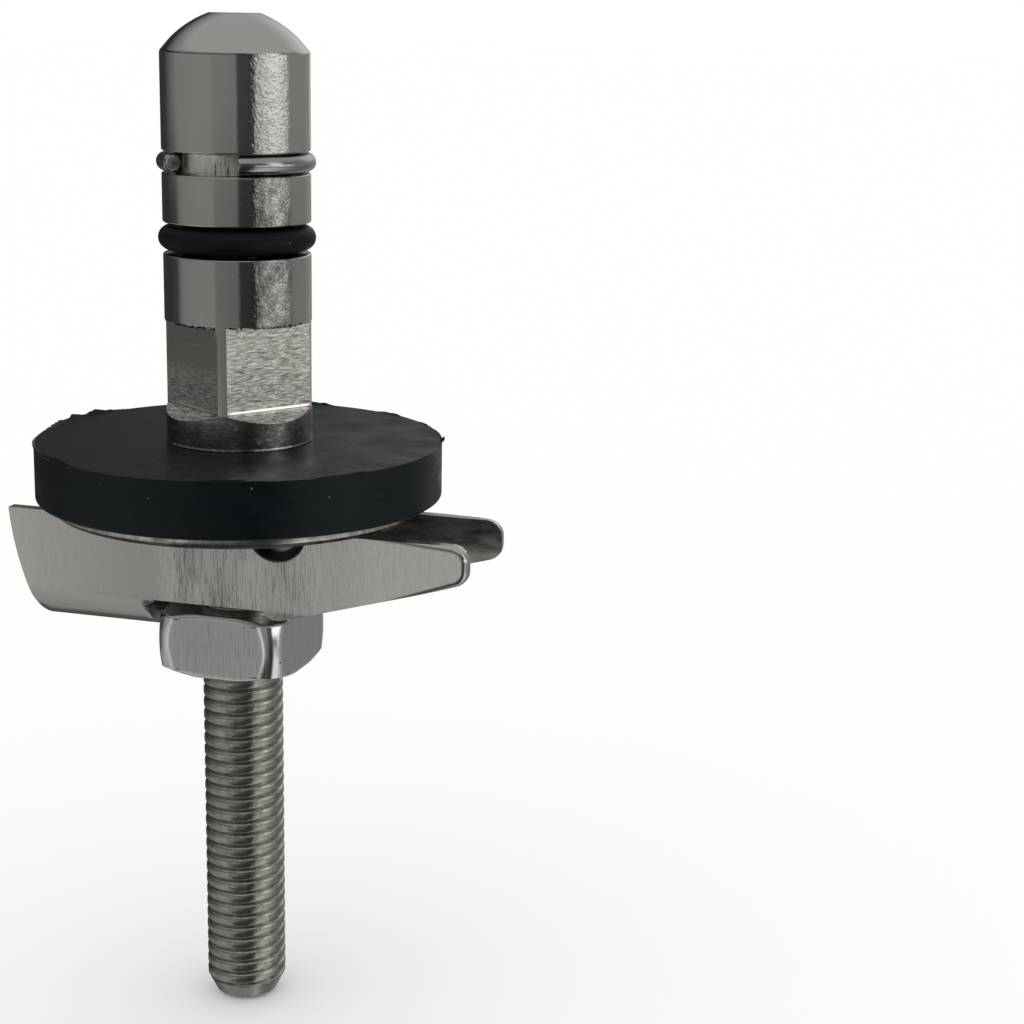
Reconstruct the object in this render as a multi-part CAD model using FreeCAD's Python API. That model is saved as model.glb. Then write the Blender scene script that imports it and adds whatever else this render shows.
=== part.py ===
import FreeCAD, Part
import math
import os

from FreeCAD import Vector

# Toilet seat hinge post with a gravity toggle for a blind hole, in millimetres.
# The origin is on the post's axis, at the underside of the steel washer, where the pan lies.
# +Z runs up the post, and the toggle's fork points along +X.

# Washers
rubber_diameter = 39.2
rubber_thickness = 5.4
rubber_edge_chamfer = 0.25
washer_diameter = 36.2
washer_thickness = 1.2
washer_edge_round = 0.6
washer_hole_clearance = 0.4

# Threaded stud, drawn at its outside diameter
stud_diameter = 7.9
stud_reach = 50.8
stud_engagement = 13.0
stud_end_chamfer = 0.8
stud_mark_diameter = 2.2
stud_mark_depth = 0.7
thread_clearance = 0.05
drill_tip_depth = 2.3

# Hinge post
post_diameter = 14.0
post_length = 40.2
tip_height = 3.5
tip_flat_diameter = 4.8
ring_groove_below_tip = 13.6
seal_groove_below_tip = 20.7
flats_below_tip = 28.6
flats_length = 8.2
flats_across = 10.5
flats_runout = 0.8
flats_turn = 56.0
base_edge_chamfer = 0.3

# Snap ring of round wire
wire_diameter = 1.6
wire_section_sides = 12
ring_stand_out = 0.4
ring_gap_angle = 62.0
ring_gap_turn = -6.5
ring_groove_side_clearance = 0.2
ring_floor_clearance = 0.05

# Sealing ring of rubber
seal_section = 2.3
seal_section_sides = 16
seal_stand_out = 0.45
seal_groove_side_clearance = 0.3
seal_floor_clearance = 0.05

# Folded toggle
sheet_thickness = 1.2
toggle_width = 12.4
toggle_depth = 11.1
toggle_bend_radius = 3.2
toggle_top_gap = 0.7
trough_reach = 22.0
trough_foot_reach = 18.6
trough_end_bulge = 0.6
window_height = 8.0
window_side_gap = 0.7
window_corner_round = 0.6
heel_inset = 0.7
heel_depth = 8.85
heel_width = 1.5
heel_round = 0.5
finger_reach = 25.2
finger_end_depth = 3.6
finger_end_round = 1.6
dimple_from_axis = 6.3
dimple_radius = 3.1
dimple_depth = 1.3

# Square nut
nut_width = 13.0
nut_height = 6.4
nut_corner_bevel = 1.2
nut_chamfer_angle = 30.0
nut_face_circle = 13.2
nut_heel_gap = 0.1

# Levels and radii that follow from the sizes above
washer_top = washer_thickness
post_base = washer_top + rubber_thickness
post_tip = post_base + post_length
post_radius = post_diameter / 2
stud_radius = stud_diameter / 2
stud_top = post_base + stud_engagement
washer_hole_radius = stud_radius + washer_hole_clearance
toggle_top = -toggle_top_gap
nut_top = toggle_top - heel_depth - nut_heel_gap
wire_radius = wire_diameter / 2
seal_radius = seal_section / 2
axis_origin = Vector(0, 0, 0)
axis_up = Vector(0, 0, 1)


def corner_arc(before, corner, after, radius):
    """Where a rounded corner starts and ends, and the middle of its arc."""
    into = (before - corner).normalize()
    out = (after - corner).normalize()
    half_angle = into.getAngle(out) / 2
    setback = radius / math.tan(half_angle)
    middle = (into + out).normalize() * (radius / math.sin(half_angle))
    to_arc = middle * (1 - radius / middle.Length)
    return corner + into * setback, corner + to_arc, corner + out * setback


def outline_face(corners):
    """A flat face from corners (x, z, corner radius) in the XZ plane."""
    points = [Vector(x, 0, z) for x, z, radius in corners]
    edges = []
    ends = []
    for i, (x, z, radius) in enumerate(corners):
        if radius:
            after = points[(i + 1) % len(points)]
            start, middle, end = corner_arc(points[i - 1], points[i], after, radius)
            edges.append(Part.Arc(start, middle, end).toShape())
            ends.append((start, end))
        else:
            ends.append((points[i], points[i]))
    for i in range(len(points)):
        start = ends[i][1]
        end = ends[(i + 1) % len(points)][0]
        edges.append(Part.LineSegment(start, end).toShape())
    return Part.Face(Part.Wire(Part.__sortEdges__(edges)))


def turned(corners):
    """A solid of revolution about the post's axis from (radius, height, corner radius)."""
    return outline_face(corners).revolve(axis_origin, axis_up, 360)


def make_rubber_washer():
    rim = rubber_diameter / 2
    return turned(
        [
            (washer_hole_radius, washer_top, 0),
            (rim - rubber_edge_chamfer, washer_top, 0),
            (rim, washer_top + rubber_edge_chamfer, 0),
            (rim, post_base - rubber_edge_chamfer, 0),
            (rim - rubber_edge_chamfer, post_base, 0),
            (washer_hole_radius, post_base, 0),
        ]
    )


def make_steel_washer():
    """A pressed disc, with its rounded lower edge drawn as two chamfers."""
    rim = washer_diameter / 2
    cheek = washer_edge_round * (1 - math.sqrt(0.5))
    return turned(
        [
            (washer_hole_radius, 0, 0),
            (rim - washer_edge_round, 0, 0),
            (rim - cheek, cheek, 0),
            (rim, washer_edge_round, 0),
            (rim, washer_top, 0),
            (washer_hole_radius, washer_top, 0),
        ]
    )


def make_threaded_stud():
    tip_radius = stud_radius - stud_end_chamfer
    return turned(
        [
            (0, -stud_reach + stud_mark_depth, 0),
            (stud_mark_diameter / 2, -stud_reach, 0),
            (tip_radius, -stud_reach, 0),
            (stud_radius, -stud_reach + stud_end_chamfer, 0),
            (stud_radius, stud_top - stud_end_chamfer, 0),
            (tip_radius, stud_top, 0),
            (0, stud_top, 0),
        ]
    )


def ring_centre_radius(section_radius, stand_out):
    return post_radius + stand_out - section_radius


def groove_corners(centre_below_tip, section_radius, stand_out, side_clearance, floor_clearance):
    """The four corners of a rectangular groove that holds a ring of round section."""
    centre = post_tip - centre_below_tip
    half_width = section_radius + side_clearance
    floor = ring_centre_radius(section_radius, stand_out) - section_radius - floor_clearance
    return [
        (post_radius, centre - half_width, 0),
        (floor, centre - half_width, 0),
        (floor, centre + half_width, 0),
        (post_radius, centre + half_width, 0),
    ]


def make_flat_cutter():
    """What the mill takes off for one spanner flat: square at the top, sloped at the bottom."""
    top = post_tip - flats_below_tip
    bottom = top - flats_length
    flat = flats_across / 2
    cut = post_radius - flat
    profile = outline_face(
        [
            (flat, top, 0),
            (flat, bottom, 0),
            (flat + 2 * cut, bottom - 2 * flats_runout, 0),
            (flat + 2 * cut, top, 0),
        ]
    )
    profile.translate(Vector(0, -post_radius, 0))
    return profile.extrude(Vector(0, post_diameter, 0))


def make_hinge_post():
    bore_radius = stud_radius + thread_clearance
    bore_end = stud_top + thread_clearance
    body = turned(
        [
            (0, bore_end + drill_tip_depth, 0),
            (bore_radius, bore_end, 0),
            (bore_radius, post_base, 0),
            (post_radius - base_edge_chamfer, post_base, 0),
            (post_radius, post_base + base_edge_chamfer, 0),
        ]
        + groove_corners(
            seal_groove_below_tip,
            seal_radius,
            seal_stand_out,
            seal_groove_side_clearance,
            seal_floor_clearance,
        )
        + groove_corners(
            ring_groove_below_tip,
            wire_radius,
            ring_stand_out,
            ring_groove_side_clearance,
            ring_floor_clearance,
        )
        + [
            (post_radius, post_tip - tip_height, 0),
            (tip_flat_diameter / 2, post_tip, 0),
            (0, post_tip, 0),
        ]
    )
    cutter = make_flat_cutter()
    for quarter in range(4):
        flat = cutter.copy()
        flat.rotate(axis_origin, axis_up, flats_turn - 90 + quarter * 90)
        body = body.cut(flat)
    return body


def round_section(centre_radius, height, section_radius, sides):
    """A many-sided section that stands for a round one, so that the rings have few facets."""
    step = 2 * math.pi / sides
    corners = []
    for i in range(sides):
        across = section_radius * math.cos(i * step)
        up = section_radius * math.sin(i * step)
        corners.append((centre_radius + across, height + up, 0))
    return outline_face(corners)


def make_snap_ring():
    centre_radius = ring_centre_radius(wire_radius, ring_stand_out)
    height = post_tip - ring_groove_below_tip
    section = round_section(centre_radius, height, wire_radius, wire_section_sides)
    ring = section.revolve(axis_origin, axis_up, 360 - ring_gap_angle)
    ring.rotate(axis_origin, axis_up, ring_gap_turn - 90 + ring_gap_angle / 2)
    return ring


def make_sealing_ring():
    centre_radius = ring_centre_radius(seal_radius, seal_stand_out)
    height = post_tip - seal_groove_below_tip
    section = round_section(centre_radius, height, seal_radius, seal_section_sides)
    return section.revolve(axis_origin, axis_up, 360)


def channel_section(width, depth, bend_radius):
    """A U across the toggle, drawn in XZ and turned so that it looks along X."""
    half = width / 2
    face = outline_face(
        [
            (-half, toggle_top, 0),
            (-half, toggle_top - depth, bend_radius),
            (half, toggle_top - depth, bend_radius),
            (half, toggle_top, 0),
        ]
    )
    face.rotate(axis_origin, axis_up, 90)
    return face


def make_channel():
    """The folded sheet over its whole length, before its ends and window are cut."""
    length = Vector(trough_reach + finger_reach, 0, 0)
    outer = channel_section(toggle_width, toggle_depth, toggle_bend_radius)
    inner_width = toggle_width - 2 * sheet_thickness
    inner_depth = toggle_depth - sheet_thickness
    inner = channel_section(inner_width, inner_depth, toggle_bend_radius - sheet_thickness)
    for face in (outer, inner):
        face.translate(Vector(-trough_reach, 0, 0))
    return outer.extrude(length).cut(inner.extrude(length))


def make_side_outline():
    """What is left of the sheet when it is seen from the side, extruded across the toggle."""
    window_left = -(nut_width / 2 + window_side_gap)
    heel_right = nut_width / 2 - heel_inset + heel_width / 2
    heel_left = heel_right - heel_width
    window_top = toggle_top - window_height
    floor = toggle_top - toggle_depth
    outline = outline_face(
        [
            (-trough_reach, toggle_top, 0),
            (-trough_foot_reach, floor, 0),
            (window_left, floor, 0),
            (window_left, window_top, window_corner_round),
            (heel_left, window_top, 0),
            (heel_left, toggle_top - heel_depth, heel_round),
            (heel_right, toggle_top - heel_depth, heel_round),
            (finger_reach, toggle_top - finger_end_depth, finger_end_round),
            (finger_reach, toggle_top, finger_end_round),
        ]
    )
    outline.translate(Vector(0, -toggle_width / 2, 0))
    sides = outline.extrude(Vector(0, toggle_width, 0))
    return sides.fuse(make_end_bulge())


def make_end_bulge():
    """The shallow arc that rounds the trough's open end in side view."""
    top = Vector(-trough_reach, 0, toggle_top)
    foot = Vector(-trough_foot_reach, 0, toggle_top - toggle_depth)
    along = foot - top
    outward = Vector(along.z, 0, -along.x).normalize()
    crown = (top + foot) * 0.5 + outward * trough_end_bulge
    arc = Part.Arc(top, crown, foot).toShape()
    bulge = Part.Face(Part.Wire([arc, Part.LineSegment(foot, top).toShape()]))
    bulge.translate(Vector(0, -toggle_width / 2, 0))
    return bulge.extrude(Vector(0, toggle_width, 0))


def make_dimple(side):
    """The boss inside one wall and the hollow behind it, both cut off by the wall's top edge."""
    dent_radius = (dimple_radius**2 + dimple_depth**2) / (2 * dimple_depth)
    from_middle = toggle_width / 2 + dent_radius - dimple_depth
    centre = Vector(dimple_from_axis, side * from_middle, toggle_top)
    hollow = Part.makeSphere(dent_radius, centre)
    boss = Part.makeSphere(dent_radius + sheet_thickness, centre)
    below_edge = Part.makeBox(toggle_width, toggle_width / 2, toggle_depth)
    below_edge.translate(Vector(dimple_from_axis - toggle_width / 2, 0, toggle_top - toggle_depth))
    if side < 0:
        below_edge.translate(Vector(0, -toggle_width / 2, 0))
    return boss.common(below_edge), hollow


def make_toggle():
    toggle = make_channel().common(make_side_outline())
    for side in (-1, 1):
        boss, hollow = make_dimple(side)
        toggle = toggle.fuse(boss).cut(hollow)
    return toggle.removeSplitter()


def make_square_nut():
    half = nut_width / 2
    block = Part.makeBox(nut_width, nut_width, nut_height, Vector(-half, -half, nut_top - nut_height))
    upright = [edge for edge in block.Edges if abs(edge.tangentAt(edge.FirstParameter).z) > 0.9]
    block = block.makeChamfer(nut_corner_bevel, upright)
    face_radius = nut_face_circle / 2
    corner_radius = nut_width
    drop = (corner_radius - face_radius) * math.tan(math.radians(nut_chamfer_angle))
    bore_radius = stud_radius + thread_clearance
    bottom = nut_top - nut_height
    blank = turned(
        [
            (bore_radius, bottom, 0),
            (face_radius, bottom, 0),
            (corner_radius, bottom + drop, 0),
            (corner_radius, nut_top - drop, 0),
            (face_radius, nut_top, 0),
            (bore_radius, nut_top, 0),
        ]
    )
    return block.common(blank)


nodes = {
    "hinge_post": make_hinge_post,
    "threaded_stud": make_threaded_stud,
    "snap_ring": make_snap_ring,
    "sealing_ring": make_sealing_ring,
    "rubber_washer": make_rubber_washer,
    "steel_washer": make_steel_washer,
    "square_nut": make_square_nut,
    "toggle_wing": make_toggle,
}

os.makedirs("parts", exist_ok=True)
for name, make in nodes.items():
    shape = make()
    solid = shape.Solids[0]
    print(f"{name}: solids {len(shape.Solids)}, valid {solid.isValid()}, volume {solid.Volume:.1f} mm3")
    solid.exportStep(f"parts/{name}.step")
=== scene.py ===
import math
import bmesh
import bpy
from mathutils import Matrix, Vector, noise


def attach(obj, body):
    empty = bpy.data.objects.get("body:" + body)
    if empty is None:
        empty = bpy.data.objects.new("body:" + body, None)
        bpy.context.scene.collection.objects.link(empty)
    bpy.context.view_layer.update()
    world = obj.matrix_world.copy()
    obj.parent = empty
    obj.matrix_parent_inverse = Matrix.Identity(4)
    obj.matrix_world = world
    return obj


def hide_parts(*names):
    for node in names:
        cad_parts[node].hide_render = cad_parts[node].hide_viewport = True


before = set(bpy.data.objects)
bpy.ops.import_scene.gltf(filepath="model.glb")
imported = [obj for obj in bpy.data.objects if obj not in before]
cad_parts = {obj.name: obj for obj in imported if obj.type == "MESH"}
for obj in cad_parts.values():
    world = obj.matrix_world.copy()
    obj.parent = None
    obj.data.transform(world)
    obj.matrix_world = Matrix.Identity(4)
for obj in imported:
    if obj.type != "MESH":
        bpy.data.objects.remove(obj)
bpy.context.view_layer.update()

scene = bpy.context.scene
scene.view_settings.view_transform = "Standard"
mm = 0.001
weld = 1e-6  # metres; points closer than this become one
looseWeld = 2e-6
sliver = 1e-7


def roundedLine(corners, steps=4):
    points = []
    for i, (x, y, radius) in enumerate(corners):
        here = Vector((x, y))
        if not radius or i in (0, len(corners) - 1):
            points.append(here)
            continue
        into = (Vector(corners[i - 1][:2]) - here).normalized()
        out = (Vector(corners[i + 1][:2]) - here).normalized()
        half = into.angle(out) / 2
        middle = here + (into + out).normalized() * (radius / math.sin(half))
        start = (here + into * (radius / math.tan(half)) - middle).normalized()
        end = (here + out * (radius / math.tan(half)) - middle).normalized()
        for step in range(steps + 1):
            points.append(middle + start.slerp(end, step / steps) * radius)
    return points


def finishMesh(name, bm, sharpAngle):
    bmesh.ops.remove_doubles(bm, verts=bm.verts, dist=weld)
    bmesh.ops.dissolve_degenerate(bm, edges=bm.edges, dist=sliver)
    bmesh.ops.recalc_face_normals(bm, faces=bm.faces)
    for face in bm.faces:
        face.smooth = True
    for edge in bm.edges:
        edge.smooth = not (edge.is_manifold and edge.calc_face_angle(0) > math.radians(sharpAngle))
    mesh = bpy.data.meshes.new(name)
    bm.to_mesh(mesh)
    bm.free()
    piece = bpy.data.objects.new(name, mesh)
    piece.modifiers.new("evenNormals", "WEIGHTED_NORMAL").keep_sharp = True
    scene.collection.objects.link(piece)
    return piece


def grownRings(name, rows, sharpAngle):
    bm = bmesh.new()
    ring = bmesh.ops.create_circle(bm, cap_ends=False, radius=mm, segments=len(rows[0]))["verts"]
    for i, row in enumerate(rows):
        if i:
            edges = [bm.edges.get(pair) for pair in zip(ring, ring[1:] + ring[:1])]
            made = set(bmesh.ops.extrude_edge_only(bm, edges=edges)["geom"])
            ring = [next(e.other_vert(v) for e in v.link_edges if e.other_vert(v) in made) for v in ring]
        for vertex, place in zip(ring, row):
            vertex.co = Vector(place) * mm
    return finishMesh(name, bm, sharpAngle)


def around(columns, radius, height):
    ring = []
    for angle in columns:
        r = radius(angle) if callable(radius) else radius
        z = height(angle) if callable(height) else height
        ring.append((r * math.cos(angle), r * math.sin(angle), z))
    return ring


def evenColumns(count):
    return [2 * math.pi * i / count for i in range(count)]


def asAngle(azimuth):
    return math.radians(azimuth - 90)


def quarterColumns(first, half, onFlat, onCorner):
    columns = []
    for quarter in range(4):
        normal = first + quarter * math.pi / 2
        columns += [normal - half + 2 * half * i / onFlat for i in range(onFlat)]
        columns += [normal + half + (math.pi / 2 - 2 * half) * i / onCorner for i in range(onCorner)]
    return columns


def everything(bm):
    return bm.verts[:] + bm.edges[:] + bm.faces[:]


def vertsOf(geometry):
    return [item for item in geometry if isinstance(item, bmesh.types.BMVert)]


def fillRamp(ramp, stops):
    while len(ramp.elements) < len(stops):
        ramp.elements.new(0.5)
    for element, (place, color) in zip(ramp.elements, stops):
        element.position = place
        element.color = (*color, 1)


def lathe(name, line, columns, sharpAngle=35):
    bm = bmesh.new()
    verts = [bm.verts.new((p[0] * mm, 0, p[1] * mm)) for p in line]
    edges = [bm.edges.new(pair) for pair in zip(verts, verts[1:])]
    bmesh.ops.spin(bm, geom=verts + edges, cent=(0, 0, 0), axis=(0, 0, 1),
                   angle=2 * math.pi, steps=columns, use_merge=True)
    return finishMesh(name, bm, sharpAngle)


class Finish:
    def __init__(self, name, color, metallic, roughness, specular=0.5):
        self.material = bpy.data.materials.new(name)
        self.material.use_nodes = True
        self.nodes = self.material.node_tree.nodes
        self.links = self.material.node_tree.links
        self.shader = self.nodes["Principled BSDF"]
        self.shader.inputs["Base Color"].default_value = (*color, 1)
        self.shader.inputs["Metallic"].default_value = metallic
        self.shader.inputs["Roughness"].default_value = roughness
        self.shader.inputs["Specular IOR Level"].default_value = specular
        self.coords = self.nodes.new("ShaderNodeTexCoord").outputs["Object"]
        self.lastBump = None

    def link(self, source, target):
        self.links.new(source, target)

    def stretched(self, scale):
        mapping = self.nodes.new("ShaderNodeMapping")
        mapping.inputs["Scale"].default_value = scale if isinstance(scale, tuple) else (scale,) * 3
        self.link(self.coords, mapping.inputs["Vector"])
        return mapping.outputs["Vector"]

    def noise(self, scale, detail=3, roughness=0.5):
        node = self.nodes.new("ShaderNodeTexNoise")
        node.inputs["Scale"].default_value = 1
        node.inputs["Detail"].default_value = detail
        node.inputs["Roughness"].default_value = roughness
        self.link(self.stretched(scale), node.inputs["Vector"])
        return node.outputs["Fac"]

    def ramp(self, value, stops):
        node = self.nodes.new("ShaderNodeValToRGB")
        fillRamp(node.color_ramp, [(place, color if isinstance(color, tuple) else (color,) * 3)
                                   for place, color in stops])
        self.link(value, node.inputs["Fac"])
        return node.outputs["Color"]

    def range(self, value, low, high, toLow, toHigh):
        node = self.nodes.new("ShaderNodeMapRange")
        for socket, number in zip(("From Min", "From Max", "To Min", "To Max"), (low, high, toLow, toHigh)):
            node.inputs[socket].default_value = number
        self.link(value, node.inputs["Value"])
        return node.outputs["Result"]

    def times(self, a, b):
        node = self.nodes.new("ShaderNodeMath")
        node.operation = "MULTIPLY"
        self.link(a, node.inputs[0])
        self.link(b, node.inputs[1])
        return node.outputs["Value"]

    def specks(self, scale, size):
        node = self.nodes.new("ShaderNodeTexVoronoi")
        node.inputs["Scale"].default_value = 1
        self.link(self.stretched(scale), node.inputs["Vector"])
        return self.range(node.outputs["Distance"], size, size * 0.5, 0, 1)

    def tinted(self, base, other, share):
        node = self.nodes.new("ShaderNodeMix")
        node.data_type = "RGBA"
        if isinstance(base, tuple):
            node.inputs["A"].default_value = (*base, 1)
        else:
            self.link(base, node.inputs["A"])
        node.inputs["B"].default_value = (*other, 1)
        self.link(share, node.inputs["Factor"])
        return node.outputs["Result"]

    def part(self, axis):
        node = self.nodes.new("ShaderNodeSeparateXYZ")
        self.link(self.coords, node.inputs["Vector"])
        return node.outputs[axis]

    def vectorMath(self, operation, source, other=(0, 0, 0)):
        node = self.nodes.new("ShaderNodeVectorMath")
        node.operation = operation
        node.inputs[1].default_value = other
        self.link(source, node.inputs[0])
        return node.outputs

    def facing(self, azimuth, narrow, wide, radius):
        way = (math.cos(asAngle(azimuth)), math.sin(asAngle(azimuth)), 0)
        inner = radius * mm * math.cos(math.radians(narrow))
        outer = radius * mm * math.cos(math.radians(wide))
        return self.range(self.vectorMath("DOT_PRODUCT", self.coords, way)["Value"], outer, inner, 0, 1)

    def awayFrom(self, place, axes):
        offset = self.vectorMath("SUBTRACT", self.coords, [number * mm for number in place])["Vector"]
        return self.vectorMath("LENGTH", self.vectorMath("MULTIPLY", offset, axes)["Vector"])["Value"]

    def bump(self, height, strength, depth):
        node = self.nodes.new("ShaderNodeBump")
        node.inputs["Strength"].default_value = strength
        node.inputs["Distance"].default_value = depth * mm
        self.link(height, node.inputs["Height"])
        if self.lastBump:
            self.link(self.lastBump, node.inputs["Normal"])
        self.lastBump = node.outputs["Normal"]
        self.link(self.lastBump, self.shader.inputs["Normal"])

    def color(self, source):
        self.link(source, self.shader.inputs["Base Color"])

    def rough(self, source):
        self.link(source, self.shader.inputs["Roughness"])


def turnedFinish():
    plain = (0.60, 0.585, 0.56)
    dirt = (0.16, 0.155, 0.145)
    finish = Finish("turnedSteel", plain, 1, 0.08)
    height = finish.part("Z")
    aboveFlats = finish.range(height, 17.5 * mm, 18.5 * mm, 0, 1)
    belowRing = finish.range(height, 32.5 * mm, 33 * mm, 1, 0)
    strip = finish.times(finish.facing(post["stripTurn"], 14, 20, post["radius"]), aboveFlats)
    wear = finish.range(finish.noise((900, 900, 500), 5, 0.7), 0.35, 0.6, 0.95, 0.25)
    worn = finish.tinted(plain, dirt, finish.times(finish.times(strip, belowRing), wear))
    finish.color(finish.tinted(worn, dirt, finish.specks((420, 420, 190), 0.06)))
    finish.rough(finish.range(finish.noise(700), 0.3, 0.7, 0.07, 0.11))
    scuffed = finish.range(strip, 0, 1, 0.08, 1)
    finish.bump(finish.times(finish.noise(3300, 3, 0.6), scuffed), 1.0, 0.05)
    finish.bump(finish.times(finish.noise(900, 2), scuffed), 1.0, 0.05)
    return finish.material


def grooveFinish():
    finish = Finish("grooveSteel", (0.62, 0.60, 0.56), 1, 0.28)
    marks = finish.noise((2300, 2300, 380), 4, 0.7)
    finish.color(finish.ramp(marks, [(0.34, (0.1, 0.095, 0.08)), (0.4, (0.62, 0.6, 0.55)),
                                     (0.6, (0.8, 0.78, 0.73))]))
    finish.bump(marks, 0.5, 0.04)
    return finish.material


def shadedCollarFinish():
    # the collar's steel is painted darker than the rest of the post: painted reflection of the dark rubber
    # beneath it
    finish = Finish("collarSteelPaintedShade", (0.3, 0.29, 0.275), 1, 0.16)
    marks = finish.noise((1300, 1300, 2600), 6, 0.75)
    finish.color(finish.ramp(marks, [(0.36, (0.12, 0.115, 0.107)), (0.44, (0.3, 0.29, 0.275)),
                                     (0.58, (0.32, 0.31, 0.29)), (0.64, (0.85, 0.83, 0.78))]))
    finish.bump(marks, 0.5, 0.04)
    return finish.material


def milledFinish():
    finish = Finish("milledSteel", (0.62, 0.60, 0.56), 1, 0.26)
    strokes = finish.noise((1000, 1000, 6500), 8, 0.75)
    upper = finish.range(finish.part("Z"), 12.5 * mm, 14.5 * mm, 0, 1)
    smooth = finish.times(finish.facing(post["flatsTurn"] - 90, 25, 45, post["flat"]), upper)  # the left flat
    cut = finish.range(smooth, 0, 1, 1, 0.12)
    dark = finish.times(finish.ramp(strokes, [(0.39, 1.0), (0.445, 0.0)]), cut)
    light = finish.times(finish.ramp(strokes, [(0.5, 0.0), (0.57, 1.0)]), cut)
    shade = finish.tinted((0.6, 0.587, 0.55), (0.1, 0.096, 0.088), dark)
    finish.color(finish.tinted(shade, (0.95, 0.93, 0.87), light))
    finish.bump(finish.times(strokes, cut), 1.0, 0.06)
    finish.bump(finish.times(finish.noise(1500, 4, 0.6), cut), 0.8, 0.05)
    return finish.material


def studFinish():
    finish = Finish("threadSteel", (0.50, 0.48, 0.44), 1, 0.24)
    stains = finish.noise(1200, 4, 0.6)
    finish.color(finish.ramp(stains, [(0.3, (0.36, 0.345, 0.305)), (0.7, (0.56, 0.545, 0.5))]))
    finish.bump(finish.noise(2600, 4, 0.6), 0.6, 0.04)
    return finish.material


def wireFinish():
    finish = Finish("wireSteel", (0.45, 0.445, 0.43), 1, 0.18)
    finish.bump(finish.noise(2500, 2), 0.15, 0.01)
    return finish.material


def sheetFinish():
    plain = (0.78, 0.77, 0.73)
    paintedShadeTone = (0.5, 0.49, 0.465)
    finish = Finish("sheetSteel", plain, 1, 0.19)
    along = finish.part("X")
    grind = finish.noise((8200, 1500, 400), 4, 0.72)
    zone = finish.noise((200, 200, 90), 2)
    left = finish.range(along, -6.5 * mm, -3.5 * mm, 0.05, 1)
    right = finish.range(along, 6 * mm, 12 * mm, 1, 0.1)
    middle = finish.times(finish.times(left, right), finish.range(zone, 0.3, 0.55, 0.5, 1))
    dark = finish.times(finish.ramp(grind, [(0.38, 1.0), (0.45, 0.0)]), middle)
    light = finish.times(finish.ramp(grind, [(0.55, 0.0), (0.66, 0.8)]), middle)
    ground = finish.tinted(plain, (0.49, 0.48, 0.457), middle)
    shade = finish.tinted(finish.tinted(ground, (0.14, 0.137, 0.131), dark), (0.78, 0.77, 0.74), light)
    # darker at the bend's underside and towards the finger tips: painted shade
    bend = finish.range(finish.part("Z"), -9.6 * mm, -8.2 * mm, 0.62, 0)
    tips = finish.range(along, 16.5 * mm, 23.5 * mm, 0, 0.45)
    shade = finish.tinted(finish.tinted(shade, paintedShadeTone, bend), paintedShadeTone, tips)
    shade = finish.tinted(shade, (0.16, 0.155, 0.15), finish.specks(300, 0.045))
    # the dimple's sloping side, sunk behind the wall's face, is painted near-black: painted shade in the
    # recess
    floor = toggle["dimpleFloor"] * mm
    reach = toggle["dimpleReach"] * mm
    wall = toggle["outerHalf"] * mm
    fromDimple = finish.awayFrom((toggle["dimpleAt"], 0, toggle["top"]), (1, 0, 1))
    hollowShade = finish.times(finish.range(fromDimple, floor - 0.1 * mm, floor + 0.1 * mm, 0, 1),
                          finish.range(fromDimple, reach - 0.4 * mm, reach + 0.1 * mm, 1, 0))
    sunk = finish.range(finish.awayFrom((0, 0, 0), (0, 1, 0)), wall - 0.12 * mm, wall - 0.03 * mm, 1, 0)
    finish.color(finish.tinted(shade, (0.04, 0.039, 0.037), finish.times(hollowShade, sunk)))
    finish.bump(finish.times(grind, middle), 0.7, 0.05)
    finish.bump(finish.noise(1300, 5, 0.6), 0.3, 0.02)
    return finish.material


# a darker copy of the steel, put on faces that lie in shade: painted shade
def shadedSteelFinish(name, shade):
    finish = Finish(name, (0.24, 0.235, 0.22), 1, 0.3)
    marks = finish.noise((260, 900, 900), 4, 0.65)
    dark = (0.1 * shade, 0.097 * shade, 0.09 * shade)
    light = (0.42 * shade, 0.41 * shade, 0.385 * shade)
    finish.color(finish.ramp(marks, [(0.35, dark), (0.65, light)]))
    finish.bump(marks, 0.4, 0.04)
    return finish.material


def washerFinish():
    finish = Finish("washerSteel", (0.6, 0.59, 0.565), 1, 0.22)
    marks = finish.noise((800, 800, 240), 5, 0.7)
    finish.color(finish.ramp(marks, [(0.34, (0.3, 0.295, 0.28)), (0.46, (0.52, 0.51, 0.49)),
                                     (0.64, (0.7, 0.69, 0.66))]))
    finish.bump(marks, 0.5, 0.04)
    return finish.material


def nutFinish():
    finish = Finish("nutSteel", (0.78, 0.775, 0.76), 1, 0.17)
    marks = finish.noise((5200, 5200, 330), 5, 0.75)
    shade = finish.ramp(marks, [(0.3, (0.3, 0.295, 0.28)), (0.37, (0.82, 0.815, 0.8)),
                                (0.62, (0.94, 0.935, 0.92))])
    finish.color(finish.tinted(shade, (0.13, 0.125, 0.12), finish.specks(330, 0.05)))
    finish.bump(finish.noise(1300, 4), 0.3, 0.02)
    return finish.material


def rubberFinish(name, color, roughness, specular):
    finish = Finish(name, color, 0, roughness, specular)
    finish.shader.inputs["Specular Tint"].default_value = (0.8, 0.97, 1.0, 1)
    finish.color(finish.tinted(color, (0.09, 0.09, 0.085), finish.specks(420, 0.05)))
    smudge = finish.noise((260, 260, 700), 5, 0.6)
    finish.rough(finish.range(smudge, 0.35, 0.65, roughness - 0.1, roughness + 0.12))
    finish.bump(finish.noise(2200, 5, 0.65), 0.4, 0.04)
    finish.bump(finish.noise(420, 3), 0.25, 0.05)
    return finish.material


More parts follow.
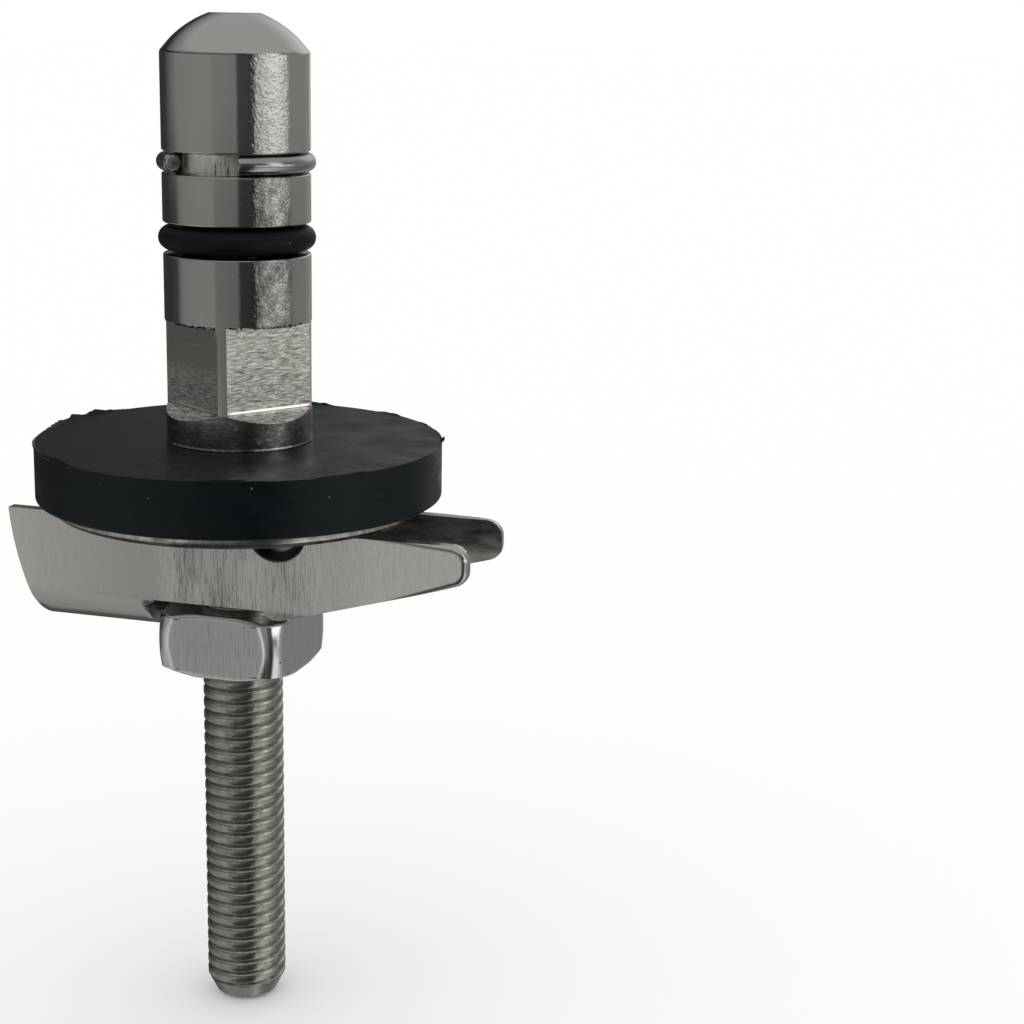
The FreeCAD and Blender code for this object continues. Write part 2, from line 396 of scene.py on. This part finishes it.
post = {
    "radius": 7.0, "base": 6.6, "tip": 46.8, "tipHeight": 3.5, "tipFlat": 2.4, "tipBulge": 0.42,
    "tipSteps": 12, "tipRound": 0.3, "shoulderRound": 0.6,
    "boreRadius": 4.0, "boreEnd": 19.65, "drillTip": 2.3,
    "ringAt": 33.2, "ringHalf": 1.0, "ringFloor": 5.75,
    "sealAt": 26.1, "sealHalf": 1.45, "sealFloor": 5.1, "grooveRound": 0.2,
    "flatsTop": 18.2, "flatsBottom": 10.0, "flat": 5.25, "runout": 0.8, "flatsTurn": 56.0,
    "flatColumns": 48, "landColumns": 5, "flatRows": 8, "stripTurn": 52.0, "edge": 0.2, "burr": 0.22,
    "burrRoom": 0.7, "sharp": 28,
    "footLine": [(-0.1, 0), (0.04, 0.06), (0.04, 0.14), (0, 0.24), (0, 0.3), (0, 1.2)],  # out, up
    "bead": 0.035, "beadLine": [(0, 0), (0.08, 0.8), (0.14, 1), (0.24, 0.75), (0.36, 0)],  # up, share
}


def buildPost():
    half = math.acos(post["flat"] / post["radius"])
    columns = quarterColumns(asAngle(post["flatsTurn"]), half, post["flatColumns"], post["landColumns"])
    radius = post["radius"]
    top = post["flatsTop"]
    bottom = post["flatsBottom"]

    def away(angle):
        quarter = math.pi / 2
        offset = angle - asAngle(post["flatsTurn"])
        return (offset + quarter / 2) % quarter - quarter / 2

    def onFlat(angle):
        return min(radius, post["flat"] / math.cos(away(angle)))

    def slopeFoot(angle):
        depth = radius * math.cos(away(angle)) - post["flat"]
        return bottom - post["runout"] * max(0, depth) / (radius - post["flat"])

    def burred(angle):
        ragged = noise.noise(Vector((math.cos(angle), math.sin(angle), 0)) * 22)
        return top + post["burr"] * ragged * min(1, 4 * (radius - onFlat(angle)))

    def nearEdge(angle):
        return max(onFlat(angle), radius - post["edge"])

    edge = post["edge"]
    lower = [(0, post["boreEnd"] + post["drillTip"]), (post["boreRadius"], post["boreEnd"]),
             (post["boreRadius"], post["base"])]
    lower += [(radius + out, post["base"] + up) for out, up in post["footLine"]]
    tip = []
    for i in range(post["tipSteps"] + 1):
        along = i / post["tipSteps"]
        bulge = post["tipBulge"] * 4 * along * (1 - along)
        lean = Vector((post["tipHeight"], radius - post["tipFlat"])).normalized() * bulge
        tip.append((
            radius + (post["tipFlat"] - radius) * along + lean.x,
            post["tip"] - post["tipHeight"] * (1 - along) + lean.y,
            0,
        ))

    def groove(at, halfWidth, floor):
        return [(radius, at - halfWidth, edge), (floor, at - halfWidth, post["grooveRound"]),
                (floor, at + halfWidth, post["grooveRound"]), (radius, at + halfWidth, edge)]

    upper = roundedLine(
        [(radius, top + 1.0, 0)]
        + groove(post["sealAt"], post["sealHalf"], post["sealFloor"])
        + groove(post["ringAt"], post["ringHalf"], post["ringFloor"])
        + [(*tip[0][:2], post["shoulderRound"])] + tip[3:-1]  # the round takes up the next two points
        + [(*tip[-1][:2], post["tipRound"]), (0, post["tip"], 0)]
    )
    rows = [around(columns, p[0], p[1]) for p in lower]
    rows.append(around(columns, radius, slopeFoot))
    for rise, lift in post["beadLine"]:
        rows.append(around(columns, lambda a: min(radius, onFlat(a) + lift * post["bead"]), bottom + rise))
    beadTop = bottom + post["beadLine"][-1][0]
    flatHeight = top - post["burrRoom"] - bottom
    for i in range(1, post["flatRows"]):
        rows.append(around(columns, onFlat, beadTop + flatHeight * i / post["flatRows"]))
    rows.append(around(columns, onFlat, burred))
    rows.append(around(columns, nearEdge, burred))
    rows.append(around(columns, radius, lambda angle: burred(angle) + edge))
    rows += [around(columns, p[0], p[1]) for p in upper]
    piece = grownRings("hingePost", rows, post["sharp"])
    for material in (turnedFinish(), milledFinish(), grooveFinish(), shadedCollarFinish(),
                     Finish("beadSteel", (0.9, 0.88, 0.83), 1, 0.16).material):
        piece.data.materials.append(material)
    milled, grooved, collar, bead = range(1, 5)
    for polygon in piece.data.polygons:
        z = polygon.center.z / mm
        r = Vector(polygon.center[:2]).length / mm
        onFlats = r < radius - 0.02 and r > post["boreRadius"] + 0.5
        if onFlats and bottom - post["runout"] < z < top:
            polygon.material_index = bead if bottom < z < beadTop else milled
        elif abs(z - post["ringAt"]) < post["ringHalf"] and r < post["ringFloor"] + 0.1:
            polygon.material_index = grooved
        elif z < bottom:
            polygon.material_index = collar
    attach(piece, "post")
    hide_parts("hinge_post")
    print("post built")


stud = {
    "crest": 3.95, "root": 3.6, "pitch": 1.25, "low": -50.8, "high": 19.6, "endRadius": 3.1, "endSlope": 0.5,
    "markRadius": 1.1, "markDepth": 0.7, "columns": 48, "sharp": 50,
    "profile": [(0, 1), (0.14, 0.99), (0.25, 0.95), (0.33, 0.82), (0.4, 0.5), (0.45, 0.18), (0.48, 0.04),
                (0.5, 0), (0.52, 0.04), (0.55, 0.18), (0.6, 0.5), (0.67, 0.82), (0.75, 0.95), (0.86, 0.99)],
}


def buildStud():
    low = stud["low"] * mm
    high = stud["high"] * mm
    pitch = stud["pitch"] * mm
    turns = int((high - low) / pitch) + 3
    bm = bmesh.new()
    verts = []
    for place, share in stud["profile"] + [(1, stud["profile"][0][1])]:
        radius = stud["root"] + (stud["crest"] - stud["root"]) * share
        verts.append(bm.verts.new((radius * mm, 0, low + (place - 2) * pitch)))
    edges = [bm.edges.new(pair) for pair in zip(verts, verts[1:])]
    bmesh.ops.spin(bm, geom=verts + edges, cent=(0, 0, 0), axis=(0, 0, 1), angle=2 * math.pi,
                   dvec=(0, 0, pitch / stud["columns"]), steps=stud["columns"])
    turn = everything(bm)
    for i in range(1, turns):
        copied = bmesh.ops.duplicate(bm, geom=turn)["geom"]
        bmesh.ops.translate(bm, verts=vertsOf(copied), vec=(0, 0, i * pitch))
    bmesh.ops.remove_doubles(bm, verts=bm.verts, dist=looseWeld)
    for end, side in ((low, -1), (high, 1)):
        bmesh.ops.bisect_plane(bm, geom=everything(bm), dist=sliver, plane_co=(0, 0, end),
                               plane_no=(0, 0, side), clear_outer=True)
    for vertex in bm.verts:  # the ends chamfered
        radius = stud["endRadius"] * mm + stud["endSlope"] * min(vertex.co.z - low, high - vertex.co.z)
        if vertex.co.xy.length > radius:
            vertex.co.xy *= radius / vertex.co.xy.length
    for end, depth in ((stud["low"], stud["markDepth"]), (stud["high"], 0)):
        rim = [e for e in bm.edges if e.is_boundary and abs(e.verts[0].co.z - end * mm) < weld]
        made = bmesh.ops.extrude_edge_only(bm, edges=rim)["geom"]
        for vertex in vertsOf(made):
            vertex.co.xy *= stud["markRadius"] * mm / vertex.co.xy.length
        rim = [e for e in made if isinstance(e, bmesh.types.BMEdge) and e.is_boundary]
        made = bmesh.ops.extrude_edge_only(bm, edges=rim)["geom"]
        for vertex in vertsOf(made):
            vertex.co = (0, 0, (end + depth) * mm)
    piece = finishMesh("threadedStud", bm, stud["sharp"])
    piece.data.materials.append(studFinish())
    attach(piece, "post")
    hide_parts("threaded_stud")
    print("stud built")


wire = {"radius": 0.87, "centre": 6.62, "height": 33.2, "sides": 24, "steps": 96, "sharp": 50,
        "gap": 62.0, "gapTurn": -6.5, "round": 0.22}
seal = {"radius": 1.15, "centre": 6.3, "height": 26.1, "sides": 24, "steps": 112, "sharp": 60}


def sweptRing(ring, start, arc):
    bm = bmesh.new()
    place = Matrix.Translation((ring["centre"] * mm, 0, ring["height"] * mm))
    place = Matrix.Rotation(start, 4, "Z") @ (place @ Matrix.Rotation(math.pi / 2, 4, "X"))
    bmesh.ops.create_circle(bm, cap_ends=False, segments=ring["sides"], radius=ring["radius"] * mm,
                            matrix=place)
    bmesh.ops.spin(bm, geom=bm.verts[:] + bm.edges[:], cent=(0, 0, 0), axis=(0, 0, 1), angle=arc,
                   steps=ring["steps"])
    return bm


def buildRings():
    bm = sweptRing(wire, asAngle(wire["gapTurn"] + wire["gap"] / 2), math.radians(360 - wire["gap"]))
    rims = [e for e in bm.edges if e.is_boundary]
    bmesh.ops.holes_fill(bm, edges=rims, sides=0)
    bmesh.ops.bevel(bm, geom=rims, offset=wire["round"] * mm, offset_type="OFFSET", affect="EDGES",
                    segments=4, profile=0.5, material=-1, clamp_overlap=True)
    piece = finishMesh("snapRing", bm, wire["sharp"])
    piece.data.materials.append(wireFinish())
    piece.data.materials.append(shadedSteelFinish("cutWireShaded", 0.6))
    for polygon in piece.data.polygons:
        if len(polygon.vertices) > 4:  # the cut ends, given the darker steel: painted shade
            polygon.material_index = 1
    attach(piece, "post")
    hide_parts("snap_ring")
    piece = finishMesh("sealingRing", sweptRing(seal, 0, 2 * math.pi), seal["sharp"])
    piece.data.materials.append(rubberFinish("sealRubber", (0.0028, 0.0038, 0.0045), 0.5, 0.2))
    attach(piece, "post")
    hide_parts("sealing_ring")
    print("rings built")


rubber = {
    "rim": 19.6, "hole": 4.35, "low": 1.2, "high": 6.6, "round": 0.3, "columns": 480, "sharp": 40,
    "flash": 0.5, "flashOut": 0.6, "nubTurn": 108, "nubHalf": 0.02, "nubReach": 0.6,
    "under": [0.3, 0.12],  # rows below the top edge
    "lip": [(0, 0.2), (0.06, 1)],  # in, share of the flash's height
    "top": [0.16, 0.2, 0.4],  # rows in from the rim
}
washer = {
    "rim": 18.1, "hole": 4.35, "low": 0.0, "high": 1.2, "round": 0.6, "edge": 0.15,
    "columns": 180, "steps": 6,
}


def flashAt(angle):
    here = Vector((math.cos(angle), math.sin(angle), 0))
    torn = min(1, max(0, 0.35 + 2.2 * noise.noise(here * 2.3 + Vector((4, 2, 7)))))
    lump = noise.noise(here * 9 + Vector((1, 9, 3)))
    fine = noise.noise(here * 26 + Vector((5, 5, 1)))
    nub = max(0, 1 - abs(math.sin((angle - asAngle(rubber["nubTurn"])) / 2)) / rubber["nubHalf"])
    return max(0, torn * (0.5 + 0.7 * lump + 0.4 * fine)) + rubber["nubReach"] * nub


def buildWashers():
    columns = evenColumns(rubber["columns"])
    rim = rubber["rim"]
    top = rubber["high"]
    body = roundedLine([
        (rubber["hole"], rubber["low"], 0),
        (rim, rubber["low"], rubber["round"]),
        (rim, top - rubber["under"][0], 0),
    ])
    rows = [around(columns, p[0], p[1]) for p in body]
    flash = rubber["flash"]
    rows.append(around(columns, rim, top - rubber["under"][1]))
    for inset, up in rubber["lip"]:
        rows.append(around(columns, lambda a: rim - inset + rubber["flashOut"] * flash * flashAt(a),
                           lambda a: top + up * flash * flashAt(a)))
    rows += [around(columns, rim - inset, top) for inset in rubber["top"]]
    flatWidth = rim - rubber["top"][-1] - rubber["hole"]
    for share in (0.75, 0.5, 0.25, 0.0):
        rows.append(around(columns, rubber["hole"] + flatWidth * share, top))
    piece = grownRings("rubberWasher", rows + rows[:1], rubber["sharp"])
    piece.data.materials.append(rubberFinish("mouldedRubber", (0.0016, 0.0036, 0.0050), 0.34, 0.26))
    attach(piece, "washers")
    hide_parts("rubber_washer")
    line = roundedLine([
        (washer["hole"], washer["high"], 0),
        (washer["hole"], washer["low"], washer["edge"]),
        (washer["rim"], washer["low"], washer["round"]),
        (washer["rim"], washer["high"], washer["edge"]),
        (washer["hole"], washer["high"], 0),
    ], washer["steps"])
    piece = lathe("steelWasher", line, washer["columns"])
    piece.data.materials.append(washerFinish())
    piece.data.materials.append(shadedSteelFinish("washerUndersidePaintedShade", 0.4))
    for polygon in piece.data.polygons:
        if -0.97 < polygon.normal.z < -0.35:  # the shaded lower round
            polygon.material_index = 1
    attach(piece, "washers")
    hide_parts("steel_washer")
    print("washers built")


nut = {
    "half": 6.5, "top": -9.65, "height": 6.4, "corner": 1.55, "barrel": 0.75, "face": 6.6,
    "slope": 20.0, "bore": 4.0, "edge": 0.35, "faceInset": 0.6,
    "flatColumns": 24, "cornerColumns": 22, "sharp": 40,
    "rimLine": [(1, 0), (0.7, 0.03), (0.4, 0.13), (0.13, 0.4), (0.03, 0.7), (0, 1)],  # in, down
    "levels": [-0.9, -0.78, -0.62, -0.42, -0.2, 0, 0.2, 0.42, 0.62, 0.78, 0.9],
}


def buildNut():
    half = nut["half"]
    edge = nut["edge"]
    slope = math.tan(math.radians(nut["slope"]))
    flatEnd = math.atan2(half - nut["corner"] - nut["barrel"], half)
    columns = quarterColumns(0, flatEnd, nut["flatColumns"], nut["cornerColumns"])

    def outer(angle, share):
        quarter = math.pi / 2
        off = abs((angle + quarter / 2) % quarter - quarter / 2)
        corner = nut["corner"] + nut["barrel"] * abs(share) ** 2
        centre = half - corner
        if off <= math.atan2(centre, half):
            return half / math.cos(off)
        along = centre * (math.cos(off) + math.sin(off))
        return along + math.sqrt(along ** 2 - 2 * centre ** 2 + corner ** 2)

    def drop(angle):
        return max(0, outer(angle, 1) - nut["face"]) * slope

    def side(share, inset=0, sink=0):
        reach = nut["height"] / 2 - edge

        def height(angle):
            end = math.copysign(reach + edge - sink - max(0, drop(angle) - inset * slope), share)
            return nut["top"] - nut["height"] / 2 + (end if abs(share) == 1 else share * reach)

        return around(columns, lambda angle: outer(angle, share) - inset, height)

    rim = [(edge * across, edge * down) for across, down in nut["rimLine"]]
    face = half - nut["faceInset"]
    bottom = nut["top"] - nut["height"]
    rows = [around(columns, nut["bore"], bottom), around(columns, face, bottom)]
    rows += [side(-1, inset, sink) for inset, sink in rim]
    rows += [side(share) for share in nut["levels"]]
    rows += [side(1, inset, sink) for inset, sink in reversed(rim)]
    rows += [around(columns, face, nut["top"]), around(columns, nut["bore"], nut["top"])]
    piece = grownRings("squareNut", rows + rows[:1], nut["sharp"])
    piece.data.materials.append(nutFinish())
    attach(piece, "nut")
    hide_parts("square_nut")
    print("nut built")


toggle = {
    "edge": 0.28, "edgeAngle": 32.0, "tipReach": 3.4, "tipEdge": 0.6, "innerHalf": 5.02, "outerHalf": 6.2,
    "dimpleAt": 6.3, "dimpleFloor": 2.1, "dimpleReach": 3.3, "top": -0.7, "shadedTo": 12.0,
    "bendAt": -8.6, "bendHalf": 3.0, "bendOuter": 3.2, "bendInner": 2.0,
    "near": 0.05, "flatAngle": 0.6, "sharp": 40,
    "cuts": [-18, -16.5, -15, -13.5, -12, -10.5, -9, -8, 6, 7, 8],  # where the long faces are split
}


def buildToggle():
    bm = bmesh.new()
    bm.from_mesh(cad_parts["toggle_wing"].data)
    bmesh.ops.remove_doubles(bm, verts=bm.verts, dist=looseWeld)
    bmesh.ops.dissolve_limit(bm, angle_limit=math.radians(toggle["flatAngle"]),
                             verts=bm.verts, edges=bm.edges)
    for x in toggle["cuts"]:
        bmesh.ops.bisect_plane(bm, geom=everything(bm), dist=weld,
                               plane_co=(x * mm, 0, 0), plane_no=(1, 0, 0))
    for vertex in bm.verts:  # the bend's points brought onto its round
        side = math.copysign(toggle["bendHalf"], vertex.co.y)
        out = Vector((vertex.co.y / mm - side, vertex.co.z / mm - toggle["bendAt"]))
        if out.y < 0 and out.x * side > 0:
            for reach in (toggle["bendOuter"], toggle["bendInner"]):
                if abs(out.length - reach) < toggle["near"]:
                    out = out.normalized() * reach
                    vertex.co.y = (side + out.x) * mm
                    vertex.co.z = (toggle["bendAt"] + out.y) * mm
    bmesh.ops.remove_doubles(bm, verts=bm.verts, dist=looseWeld)
    bmesh.ops.recalc_face_normals(bm, faces=bm.faces)
    tipFrom = max(v.co.x for v in bm.verts) - toggle["tipReach"] * mm
    wall = (toggle["outerHalf"] - toggle["near"]) * mm
    angle = math.radians(toggle["edgeAngle"])
    # the tips first, then every edge that is still sharp
    for edge, start, beyond in ((toggle["tipEdge"], tipFrom, wall), (toggle["edge"], -1, -1)):
        sharp = [e for e in bm.edges if e.is_manifold and e.calc_face_angle(0) > angle
                 and all(v.co.x > start and abs(v.co.y) > beyond for v in e.verts)]
        bmesh.ops.bevel(bm, geom=sharp, offset=edge * mm, offset_type="OFFSET", affect="EDGES",
                        segments=3, profile=0.5, material=-1, clamp_overlap=True)
    piece = finishMesh("toggleWing", bm, toggle["sharp"])
    piece.data.materials.append(sheetFinish())
    piece.data.materials.append(shadedSteelFinish("innerSheetPaintedShade", 1.25))
    # the inner faces of the walls and trough, and the top edges near the washers, get the darker steel:
    # painted shade
    for polygon in piece.data.polygons:
        inward = polygon.normal.y * polygon.center.y < 0 or polygon.normal.z > 0.5
        across = abs(polygon.center.y) / mm
        upper = polygon.normal.z > 0.7 and polygon.center.x < toggle["shadedTo"] * mm
        if upper or (inward and across < toggle["innerHalf"]):
            polygon.material_index = 1
    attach(piece, "toggle")
    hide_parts("toggle_wing")
    print("toggle built")


shot = {
    "lens": 73.8,          # mm
    "sensor": 36.0,
    "clipStart": 0.005,
    "standAzimuth": 24.0,  # where the camera stands round the post
    "distance": 0.2015,
    "height": 0.0473,
    "pan": -7.56,          # turned right, so the post stands left of centre
    "pitch": 13.4,
    "roll": 1.0,
}


def placeCamera():
    stand = math.radians(shot["standAzimuth"])
    look = math.radians(shot["standAzimuth"] + shot["pan"])
    pitch = math.radians(shot["pitch"])
    back = Vector((math.sin(look) * math.cos(pitch), -math.cos(look) * math.cos(pitch), math.sin(pitch)))
    right = Vector((math.cos(look), math.sin(look), 0))
    up = back.cross(right)
    turn = Matrix((right, up, back)).transposed() @ Matrix.Rotation(math.radians(shot["roll"]), 3, "Z")
    place = Vector((math.sin(stand) * shot["distance"], -math.cos(stand) * shot["distance"], shot["height"]))
    data = bpy.data.cameras.new("camera")
    data.lens = shot["lens"]
    data.sensor_width = shot["sensor"]
    data.clip_start = shot["clipStart"]
    camera = bpy.data.objects.new("camera", data)
    camera.matrix_world = Matrix.Translation(place) @ turn.to_4x4()
    scene.collection.objects.link(camera)
    scene.camera = camera
    print("camera placed")


studio = {
    "diffuse": 1.05,
    "floor": 0.95,
    "floorAt": -0.0512,
    "floorRadius": 6.0,
    "ceiling": 0.46,
    "under": 0.42,
    # what the metal mirrors, as (azimuth in degrees, brightness), in bands from the ground up
    "ground": [(-180, 0.32), (-160, 0.25), (-145, 0.08), (-120, 0.14), (-100, 0.32), (-70, 0.35), (-35, 0.4),
               (-27, 0.37), (-20, 0.11), (0, 0.05), (26, 0.06), (29, 0.03), (48, 0.03), (52, 0.4), (60, 0.75),
               (88, 0.7), (102, 0.4), (130, 0.22), (160, 0.2), (170, 0.32)],
    "low": [(-180, 0.32), (-160, 0.25), (-145, 0.06), (-100, 0.08), (-70, 0.27), (-45, 0.5), (-32, 0.58),
            (-27, 0.16), (-22, 0.15), (-18, 0.75), (-13, 0.85), (-7, 0.35), (0, 0.2), (20, 0.1), (28, 0.02),
            (49, 0.02), (52, 0.3), (60, 0.5), (85, 0.45), (99, 0.3), (112, 0.28), (130, 0.2), (160, 0.19),
            (170, 0.32)],
    "below": [(-180, 0.3), (-160, 0.22), (-145, 0.04), (-105, 0.04), (-84, 0.06), (-72, 0.24), (-40, 0.28),
              (-13, 0.27), (-11, 0.2), (24, 0.17), (27, 0.04), (49, 0.03), (53, 0.08), (78, 0.08), (82, 0.6),
              (97, 0.6), (101, 0.12), (106, 0.3), (112, 0.24), (150, 0.24), (170, 0.3)],
    "level": [(-180, 0.62), (-168, 0.5), (-157, 0.14), (-146, 0.03), (-110, 0.05), (-78, 0.27), (-40, 0.3),
              (-13, 0.29), (-11, 0.26), (24, 0.24), (27, 0.07), (49, 0.06), (51, 0.25), (54, 1.9), (59, 0.5),
              (65, 1.9), (70, 0.5), (77, 2.0), (83, 0.5), (90, 2.0), (97, 0.5), (104, 1.9), (110, 0.5),
              (113, 0.9), (115, 0.3), (150, 0.27), (168, 0.3)],
    "above": [(-180, 0.75), (-168, 0.55), (-157, 0.14), (-146, 0.03), (-100, 0.03), (-70, 0.1), (20, 0.1),
              (29, 0.02), (48, 0.02), (55, 0.1), (70, 0.1), (76, 1.3), (92, 1.3), (98, 0.1),
              (140, 0.3), (160, 0.7)],
    # each band with the heights over which it takes over from the one under it
    "bands": [("ground", -0.99, -0.93), ("low", -0.37, -0.32), ("below", -0.22, -0.17),
              ("level", -0.09, -0.05), ("above", 0.1, 0.14)],
    "ceilingFrom": 0.35,
    "ceilingTo": 0.75,
    "warmth": 0.98,  # of blue
}


def buildStudio():
    world = bpy.data.worlds.new("studio")
    world.use_nodes = True
    nodes = world.node_tree.nodes
    links = world.node_tree.links
    nodes.clear()
    coords = nodes.new("ShaderNodeTexCoord")
    split = nodes.new("ShaderNodeSeparateXYZ")
    links.new(coords.outputs["Generated"], split.inputs["Vector"])
    flip = nodes.new("ShaderNodeMath")
    flip.operation = "MULTIPLY"
    flip.inputs[1].default_value = -1
    links.new(split.outputs["Y"], flip.inputs[0])
    azimuth = nodes.new("ShaderNodeMath")
    azimuth.operation = "ARCTAN2"
    links.new(split.outputs["X"], azimuth.inputs[0])
    links.new(flip.outputs["Value"], azimuth.inputs[1])
    share = nodes.new("ShaderNodeMapRange")
    share.inputs["From Min"].default_value = -math.pi
    share.inputs["From Max"].default_value = math.pi
    links.new(azimuth.outputs["Value"], share.inputs["Value"])

    def layered(under, over, start, end):
        share = nodes.new("ShaderNodeMapRange")
        share.inputs["From Min"].default_value = start
        share.inputs["From Max"].default_value = end
        links.new(split.outputs["Z"], share.inputs["Value"])
        mix = nodes.new("ShaderNodeMix")
        mix.data_type = "RGBA"
        links.new(share.outputs["Result"], mix.inputs["Factor"])
        for source, socket in ((under, mix.inputs["A"]), (over, mix.inputs["B"])):
            if isinstance(source, float):
                socket.default_value = (source, source, source, 1)
            else:
                links.new(source, socket)
        return mix.outputs["Result"]

    mirrored = studio["under"]
    for band, start, end in studio["bands"]:
        walls = nodes.new("ShaderNodeValToRGB")
        fillRamp(walls.color_ramp, [((degrees + 180) / 360, (grey, grey, grey * studio["warmth"]))
                                    for degrees, grey in studio[band]])
        links.new(share.outputs["Result"], walls.inputs["Fac"])
        mirrored = layered(mirrored, walls.outputs["Color"], start, end)
    mirrored = layered(mirrored, studio["ceiling"], studio["ceilingFrom"], studio["ceilingTo"])
    glossy = nodes.new("ShaderNodeBackground")
    links.new(mirrored, glossy.inputs["Color"])
    diffuse = nodes.new("ShaderNodeBackground")
    diffuse.inputs["Strength"].default_value = studio["diffuse"]
    seen = nodes.new("ShaderNodeBackground")
    path = nodes.new("ShaderNodeLightPath")
    first = nodes.new("ShaderNodeMixShader")
    links.new(path.outputs["Is Glossy Ray"], first.inputs["Fac"])
    links.new(diffuse.outputs["Background"], first.inputs[1])
    links.new(glossy.outputs["Background"], first.inputs[2])
    second = nodes.new("ShaderNodeMixShader")
    links.new(path.outputs["Is Camera Ray"], second.inputs["Fac"])
    links.new(first.outputs["Shader"], second.inputs[1])
    links.new(seen.outputs["Background"], second.inputs[2])
    for shader in (diffuse, seen):
        shader.inputs["Color"].default_value = (1, 1, 1, 1)
    output = nodes.new("ShaderNodeOutputWorld")
    links.new(second.outputs["Shader"], output.inputs["Surface"])
    scene.world = world
    bm = bmesh.new()
    bmesh.ops.create_circle(bm, cap_ends=True, segments=96, radius=studio["floorRadius"])
    for vert in bm.verts:
        vert.co.z = studio["floorAt"]
    floor = finishMesh("floor", bm, 60)
    floor.data.materials.append(Finish("floor", (studio["floor"],) * 3, 0, 0.9, 0).material)
    floor.visible_glossy = False
    print("studio built")


buildPost()
buildStud()
buildRings()
buildWashers()
buildNut()
buildToggle()
placeCamera()
buildStudio()
